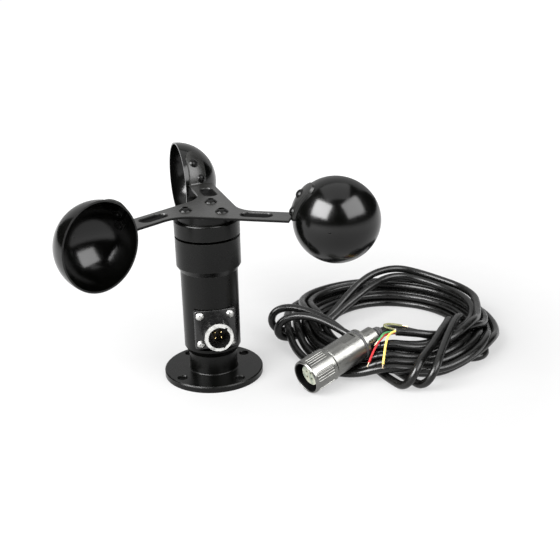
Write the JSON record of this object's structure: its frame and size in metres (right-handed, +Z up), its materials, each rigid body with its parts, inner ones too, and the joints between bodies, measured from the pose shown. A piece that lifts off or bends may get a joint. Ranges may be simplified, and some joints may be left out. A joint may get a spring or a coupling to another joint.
{
  "type": "cup anemometer",
  "caption": "Wind speed sensor with a three-cup rotor on a flanged black body, a round panel socket, and its detached signal cable coiled beside it.",
  "frame": {"origin": "on the rotor axis, in the underside of the base flange, at the centre of its bolt circle", "axes": "+Z up along the rotor axis; -Y towards the side that carries the panel socket"},
  "size_m": [0.2702, 0.1748, 0.1272],
  "materials": {
    "black_gloss": "gloss black paint",
    "black_satin": "satin black paint",
    "bright_metal": "nickel plate",
    "steel": "plain steel",
    "aluminium": "machined",
    "brass": "gold plate",
    "rubber": "black rubber",
    "black_plastic": "moulded",
    "ivory_plastic": "moulded",
    "green_board": "solder mask",
    "jacket": "black cable jacket",
    "red_cover": "core insulation",
    "yellow_cover": "core insulation",
    "green_cover": "core insulation",
    "brown_cover": "core insulation"
  },
  "bodies": {
    "base": {"base_flange": "black_gloss", "base_oring": "rubber", "lower_body": "black_gloss", "body_oring": "rubber", "bearing_housing": "black_gloss", "housing_circlip": "steel", "upper_bearing_outer_ring": "steel", "lower_bearing_outer_ring": "steel", "sensor_board": "green_board", "board_screws": "steel", "hall_sensor": "black_plastic", "board_chips": "black_plastic", "board_header": "black_plastic", "socket_wires": "jacket", "socket_gasket": "rubber", "socket_shell": "bright_metal", "socket_insert": "black_plastic", "socket_pins": "brass", "socket_screws": "bright_metal", "plug_body": "bright_metal", "plug_insert": "ivory_plastic", "plug_contacts": "brass", "plug_seal": "rubber", "plug_clamp": "bright_metal", "cable_coil": "jacket", "cable_lead": "jacket", "cable_tail": "jacket", "wire_red": "red_cover", "wire_yellow": "yellow_cover", "wire_green": "green_cover", "wire_brown": "brown_cover", "wire_tips": "brass"},
    "rotor": {"spider_plate": "black_satin", "cup_1": "black_gloss", "cup_2": "black_gloss", "cup_3": "black_gloss", "cup_screws_1": "steel", "cup_screws_2": "steel", "cup_screws_3": "steel", "cup_nuts_1": "steel", "cup_nuts_2": "steel", "cup_nuts_3": "steel", "hub_screws": "steel", "rotor_cap": "black_gloss", "cap_screw": "steel", "shaft": "steel", "upper_bearing_inner_ring": "steel", "lower_bearing_inner_ring": "steel", "bearing_spacer": "aluminium", "shaft_circlip": "steel", "magnet_holder": "aluminium", "magnets": "steel"},
    "upper_ball_cage": {"upper_bearing_balls": "steel", "upper_bearing_cage": "steel"},
    "lower_ball_cage": {"lower_bearing_balls": "steel", "lower_bearing_cage": "steel"},
    "coupling_nut": {"plug_nut": "bright_metal"}
  },
  "joints": [
    {"name": "rotor_spin", "type": "hinge", "parent": "base", "child": "rotor", "pos_m": [0, 0, 0.09], "axis": [0, 0, 1], "continuous": true},
    {"name": "upper_cage_turn", "type": "hinge", "parent": "base", "child": "upper_ball_cage", "pos_m": [0, 0, 0.084], "axis": [0, 0, 1], "continuous": true},
    {"name": "lower_cage_turn", "type": "hinge", "parent": "base", "child": "lower_ball_cage", "pos_m": [0, 0, 0.0635], "axis": [0, 0, 1], "continuous": true},
    {"name": "nut_turn", "type": "hinge", "parent": "base", "child": "coupling_nut", "pos_m": [0.053, -0.0377, 0.01032], "axis": [0.8203, 0.5327, 0.2079], "continuous": true}
  ],
  "couplings": [
    {"joint": "upper_cage_turn", "follows": "rotor_spin", "ratio": 0.3618},
    {"joint": "lower_cage_turn", "follows": "rotor_spin", "ratio": 0.3618}
  ]
}
